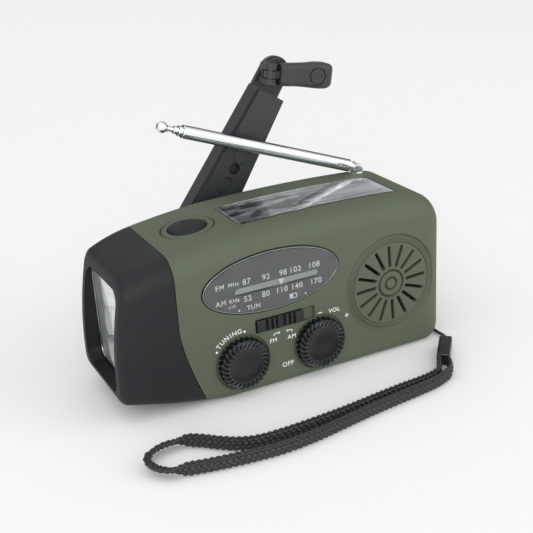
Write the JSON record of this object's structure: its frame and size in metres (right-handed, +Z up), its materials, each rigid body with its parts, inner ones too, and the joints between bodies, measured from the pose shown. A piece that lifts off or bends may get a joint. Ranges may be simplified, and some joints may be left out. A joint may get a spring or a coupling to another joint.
{
  "type": "emergency radio",
  "caption": "Hand-crank camping radio with torch end, oval tuning dial, speaker, solar window, telescopic aerial and wrist strap.",
  "frame": {"origin": "middle of the case's flat underside", "axes": "+X from the torch to the wrist strap's end, -Y out of the dial's front, +Z up"},
  "size_m": [0.131, 0.099, 0.1037],
  "materials": {
    "olive_plastic": "fine-grained moulded ABS",
    "black_plastic": "satin moulded ABS",
    "black_rubber": "matt soft-touch rubber",
    "clear_plastic": "clear polished plastic",
    "chrome": "bright plated",
    "steel": "bare steel",
    "led_clear": "clear epoxy",
    "solar": "laminated cell with silver lines",
    "dial": "smoked gloss plastic",
    "white_plastic": "white ABS",
    "board": "glass-fibre board with solder mask",
    "battery": "shrink sleeve",
    "paper": "treated paper",
    "nylon": "natural nylon",
    "ferrite": "sintered ferrite",
    "braid": "flat braided nylon"
  },
  "bodies": {
    "case": {"front_shell": "olive_plastic", "back_cover": "olive_plastic", "torch_switch": "black_plastic", "strap_ferrule": "black_plastic", "torch_hood": "black_rubber", "torch_lens": "clear_plastic", "solar_cover": "clear_plastic", "torch_reflector": "chrome", "case_screw_1": "steel", "case_screw_2": "steel", "case_screw_3": "steel", "case_screw_4": "steel", "torch_button_spring": "steel", "pointer_rail": "steel", "volume_pot": "steel", "band_switch_body": "steel", "usb_socket": "steel", "speaker_basket": "steel", "idler_pin": "steel", "generator": "steel", "led_1": "led_clear", "led_2": "led_clear", "led_3": "led_clear", "solar_cell": "solar", "dial_window": "dial", "tuning_capacitor": "white_plastic", "led_board": "board", "main_board": "board", "battery": "battery", "speaker_cone": "paper", "speaker_magnet": "ferrite", "ferrite_rod": "ferrite", "strap_knot": "braid", "strap_cord": "braid", "strap_braid": "braid"},
    "torch_button": {"torch_button": "black_rubber"},
    "dial_pointer": {"dial_pointer": "white_plastic"},
    "tuning_knob": {"tuning_knob": "black_plastic", "dial_drum": "nylon"},
    "volume_knob": {"volume_knob": "black_plastic"},
    "band_switch": {"band_switch": "black_plastic"},
    "port_cover": {"port_cover": "black_rubber"},
    "crank": {"crank_axle": "steel", "drive_gear": "nylon", "crank_hub": "black_plastic", "flip_pin": "steel"},
    "idler": {"idler_gear": "nylon"},
    "generator_rotor": {"generator_pinion": "steel"},
    "crank_arm": {"crank_arm": "black_plastic"},
    "knob_swivel": {"knob_swivel": "black_plastic", "knob_pin": "steel"},
    "crank_knob": {"crank_knob": "black_plastic", "knob_plug": "black_plastic"},
    "antenna_base": {"antenna_base": "chrome", "antenna_pin": "steel"},
    "antenna_1": {"antenna_1": "chrome"},
    "antenna_2": {"antenna_2": "chrome"},
    "antenna_3": {"antenna_3": "chrome"},
    "antenna_4": {"antenna_4": "chrome", "antenna_tip": "chrome"}
  },
  "joints": [
    {"name": "torch_button_press", "type": "slide", "parent": "case", "child": "torch_button", "axis": [0, 0, -1], "range_m": [0, 0.0016], "stiffness_N_per_m": 500, "springref_m": -0.001, "deforming": ["torch_button_spring"]},
    {"name": "tuning_turn", "type": "hinge", "parent": "case", "child": "tuning_knob", "pos_m": [-0.0208, -0.0225, 0.0132], "axis": [0, 1, 0], "range_deg": [-150, 150]},
    {"name": "dial_pointer_slide", "type": "slide", "parent": "case", "child": "dial_pointer", "axis": [1, 0, 0], "range_m": [-0.014, 0.014]},
    {"name": "volume_turn", "type": "hinge", "parent": "case", "child": "volume_knob", "pos_m": [0.0092, -0.0225, 0.0129], "axis": [0, 1, 0], "range_deg": [0, 290]},
    {"name": "band_switch_slide", "type": "slide", "parent": "case", "child": "band_switch", "axis": [1, 0, 0], "range_m": [0, 0.0044]},
    {"name": "port_cover_hinge", "type": "hinge", "parent": "case", "child": "port_cover", "pos_m": [0.0628, 0, 0.0164], "axis": [0, 1, 0], "range_deg": [0, 110]},
    {"name": "crank_spin", "type": "hinge", "parent": "case", "child": "crank", "pos_m": [-0.0211, 0.0252, 0.031], "axis": [0, 1, 0], "continuous": true},
    {"name": "idler_spin", "type": "hinge", "parent": "case", "child": "idler", "pos_m": [-0.00209, 0.015, 0.02431], "axis": [0, 1, 0], "continuous": true},
    {"name": "generator_spin", "type": "hinge", "parent": "case", "child": "generator_rotor", "pos_m": [0.01193, 0.013, 0.01631], "axis": [0, 1, 0], "continuous": true},
    {"name": "crank_flip", "type": "hinge", "parent": "crank", "child": "crank_arm", "pos_m": [-0.0211, 0.0308, 0.031], "axis": [-0.8261, 0, 0.5635], "range_deg": [0, 180]},
    {"name": "knob_swivel_turn", "type": "hinge", "parent": "crank_arm", "child": "knob_swivel", "pos_m": [0.02455, 0.0309, 0.09791], "axis": [0, 1, 0], "range_deg": [-175, 45]},
    {"name": "knob_fold", "type": "hinge", "parent": "knob_swivel", "child": "crank_knob", "pos_m": [0.02011, 0.0266, 0.09866], "axis": [-0.1668, 0, -0.986], "range_deg": [0, 90]},
    {"name": "antenna_swivel", "type": "hinge", "parent": "case", "child": "antenna_base", "pos_m": [0.0501, 0.0176, 0.0597], "axis": [0, 0, 1], "range_deg": [0, 180]},
    {"name": "antenna_tilt", "type": "hinge", "parent": "antenna_base", "child": "antenna_1", "pos_m": [0.0501, 0.0176, 0.0597], "axis": [0, 1, 0], "range_deg": [-2.5, 69.5]},
    {"name": "antenna_slide_2", "type": "slide", "parent": "antenna_1", "child": "antenna_2", "axis": [-0.9367, 0, 0.3502], "range_m": [0, 0.056]},
    {"name": "antenna_slide_3", "type": "slide", "parent": "antenna_2", "child": "antenna_3", "axis": [-0.9367, 0, 0.3502], "range_m": [0, 0.056]},
    {"name": "antenna_slide_4", "type": "slide", "parent": "antenna_3", "child": "antenna_4", "axis": [-0.9367, 0, 0.3502], "range_m": [0, 0.056]}
  ],
  "couplings": [
    {"joint": "dial_pointer_slide", "follows": "tuning_turn", "m_per_rad": 0.0053},
    {"joint": "idler_spin", "follows": "crank_spin", "ratio": -3},
    {"joint": "generator_spin", "follows": "crank_spin", "ratio": 9}
  ]
}
